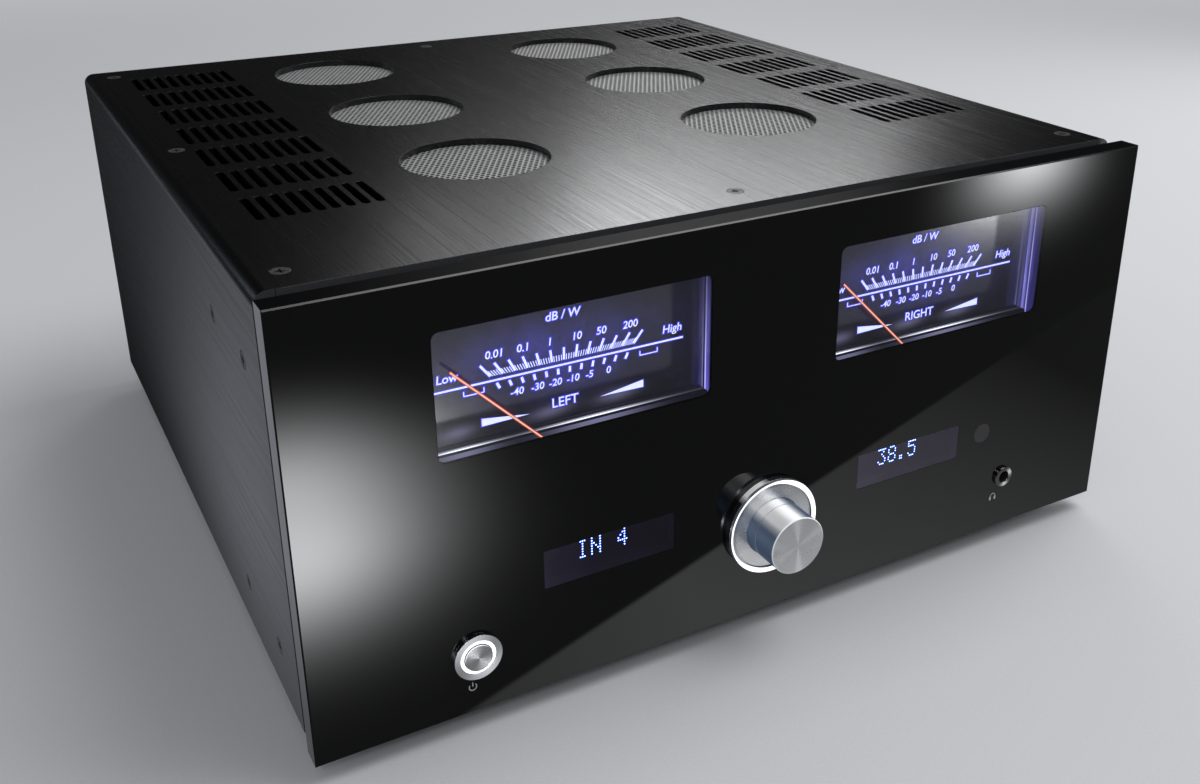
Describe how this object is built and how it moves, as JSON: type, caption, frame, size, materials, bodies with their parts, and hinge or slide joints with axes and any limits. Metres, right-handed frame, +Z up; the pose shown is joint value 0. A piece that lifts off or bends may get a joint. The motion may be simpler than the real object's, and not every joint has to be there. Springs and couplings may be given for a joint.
{
  "type": "stereo amplifier",
  "caption": "Wide stereo amplifier in a black case with a thick gloss front panel, needle power meters, a volume knob and mesh vents on top.",
  "frame": {"origin": "on the floor, under the middle of the bounding box", "axes": "+X right, +Y to the rear, +Z up; the front panel faces -Y"},
  "size_m": [0.43, 0.4792, 0.206],
  "materials": {
    "acrylic_black": "thick polished black acrylic",
    "aluminium_black": "black anodised, brushed along the depth",
    "steel_black": "satin black powder coat",
    "mesh_steel": "woven wire mesh",
    "black_plastic": "moulded black",
    "white_plastic": "moulded white",
    "rubber_black": "soft black rubber",
    "screw_black": "black oxide",
    "lens_clear": "clear polished block",
    "meter_black": "matt black moulding",
    "dial_dark": "dark printed dial, lit from its edge",
    "needle_red": "fluorescent red",
    "magnet_steel": "plated steel",
    "glow_white": "opal diffuser, lit",
    "display_smoke": "smoked acrylic",
    "remote_smoke": "infrared filter",
    "aluminium_satin": "turned and brushed",
    "chrome_trim": "polished",
    "board_green": "solder-masked laminate",
    "winding_copper": "taped copper winding on a steel core",
    "sleeve_blue": "shrink sleeve",
    "sink_black": "black anodised extrusion",
    "contact_gold": "gold plated",
    "cap_red": "red insulator",
    "cap_black": "black insulator"
  },
  "bodies": {
    "chassis": {"front_panel": "acrylic_black", "front_frame": "steel_black", "top_cover": "aluminium_black", "vent_meshes": "mesh_steel", "left_side_panel": "aluminium_black", "right_side_panel": "aluminium_black", "base_tray": "steel_black", "rear_panel": "steel_black", "feet": "black_plastic", "foot_pads": "rubber_black", "case_screws": "screw_black", "chassis_screws": "screw_black", "meter_lenses": "lens_clear", "left_meter_housing": "meter_black", "right_meter_housing": "meter_black", "left_meter_dial": "dial_dark", "right_meter_dial": "dial_dark", "meter_movements": "magnet_steel", "meter_lamps": "glow_white", "display_windows": "display_smoke", "display_modules": "black_plastic", "volume_encoder": "magnet_steel", "volume_flange": "aluminium_satin", "volume_light_ring": "glow_white", "power_bezel": "chrome_trim", "power_light_ring": "glow_white", "power_switch": "black_plastic", "headphone_socket": "chrome_trim", "remote_window": "remote_smoke", "control_board": "board_green", "transformer": "winding_copper", "transformer_pads": "rubber_black", "transformer_clamp": "magnet_steel", "capacitors": "sleeve_blue", "power_board": "board_green", "left_heat_sink": "sink_black", "right_heat_sink": "sink_black", "output_transistors": "black_plastic", "amplifier_boards": "board_green", "input_board": "board_green", "line_sockets": "contact_gold", "optical_sockets": "black_plastic", "mains_inlet": "black_plastic", "rocker_frame": "black_plastic", "speaker_posts": "contact_gold"},
    "left_needle": {"left_needle": "needle_red"},
    "right_needle": {"right_needle": "needle_red"},
    "volume_plunger": {"encoder_plunger": "white_plastic"},
    "volume_knob": {"volume_knob": "aluminium_satin", "volume_shaft": "magnet_steel"},
    "power_button": {"power_button": "aluminium_satin"},
    "rocker": {"rocker": "black_plastic"},
    "post_ring_1": {"post_ring_1": "contact_gold"},
    "post_cap_1": {"post_cap_1": "cap_red"},
    "post_ring_2": {"post_ring_2": "contact_gold"},
    "post_cap_2": {"post_cap_2": "cap_black"},
    "post_ring_3": {"post_ring_3": "contact_gold"},
    "post_cap_3": {"post_cap_3": "cap_red"},
    "post_ring_4": {"post_ring_4": "contact_gold"},
    "post_cap_4": {"post_cap_4": "cap_black"}
  },
  "joints": [
    {"name": "left_needle_swing", "type": "hinge", "parent": "chassis", "child": "left_needle", "pos_m": [-0.0945, -0.2006, 0.1114], "axis": [0, 1, 0], "range_deg": [0, 90], "stiffness_Nm_per_rad": 0.0003, "springref_deg": -20.05},
    {"name": "right_needle_swing", "type": "hinge", "parent": "chassis", "child": "right_needle", "pos_m": [0.0945, -0.2006, 0.1114], "axis": [0, 1, 0], "range_deg": [0, 90], "stiffness_Nm_per_rad": 0.0003, "springref_deg": -20.05},
    {"name": "volume_push", "type": "slide", "parent": "chassis", "child": "volume_plunger", "axis": [0, 1, 0], "range_m": [0, 0.0006], "stiffness_N_per_m": 3000, "springref_m": -0.0005},
    {"name": "volume_turn", "type": "hinge", "parent": "volume_plunger", "child": "volume_knob", "pos_m": [0, -0.2166, 0.057], "axis": [0, 1, 0], "continuous": true},
    {"name": "power_press", "type": "slide", "parent": "chassis", "child": "power_button", "axis": [0, 1, 0], "range_m": [0, 0.0015], "stiffness_N_per_m": 1500, "springref_m": -0.001},
    {"name": "rocker_tilt", "type": "hinge", "parent": "chassis", "child": "rocker", "pos_m": [-0.108, 0.2129, 0.062], "axis": [1, 0, 0], "range_deg": [0, 18]},
    {"name": "post_1_slide", "type": "slide", "parent": "chassis", "child": "post_ring_1", "axis": [0, 1, 0], "range_m": [0, 0.004]},
    {"name": "post_1_turn", "type": "hinge", "parent": "post_ring_1", "child": "post_cap_1", "pos_m": [0.092, 0.2204, 0.062], "axis": [0, 1, 0], "range_deg": [0, 1440]},
    {"name": "post_2_slide", "type": "slide", "parent": "chassis", "child": "post_ring_2", "axis": [0, 1, 0], "range_m": [0, 0.004]},
    {"name": "post_2_turn", "type": "hinge", "parent": "post_ring_2", "child": "post_cap_2", "pos_m": [0.118, 0.2204, 0.062], "axis": [0, 1, 0], "range_deg": [0, 1440]},
    {"name": "post_3_slide", "type": "slide", "parent": "chassis", "child": "post_ring_3", "axis": [0, 1, 0], "range_m": [0, 0.004]},
    {"name": "post_3_turn", "type": "hinge", "parent": "post_ring_3", "child": "post_cap_3", "pos_m": [0.144, 0.2204, 0.062], "axis": [0, 1, 0], "range_deg": [0, 1440]},
    {"name": "post_4_slide", "type": "slide", "parent": "chassis", "child": "post_ring_4", "axis": [0, 1, 0], "range_m": [0, 0.004]},
    {"name": "post_4_turn", "type": "hinge", "parent": "post_ring_4", "child": "post_cap_4", "pos_m": [0.17, 0.2204, 0.062], "axis": [0, 1, 0], "range_deg": [0, 1440]}
  ],
  "couplings": [
    {"joint": "post_1_turn", "follows": "post_1_slide", "rad_per_m": 6283.2},
    {"joint": "post_2_turn", "follows": "post_2_slide", "rad_per_m": 6283.2},
    {"joint": "post_3_turn", "follows": "post_3_slide", "rad_per_m": 6283.2},
    {"joint": "post_4_turn", "follows": "post_4_slide", "rad_per_m": 6283.2}
  ]
}
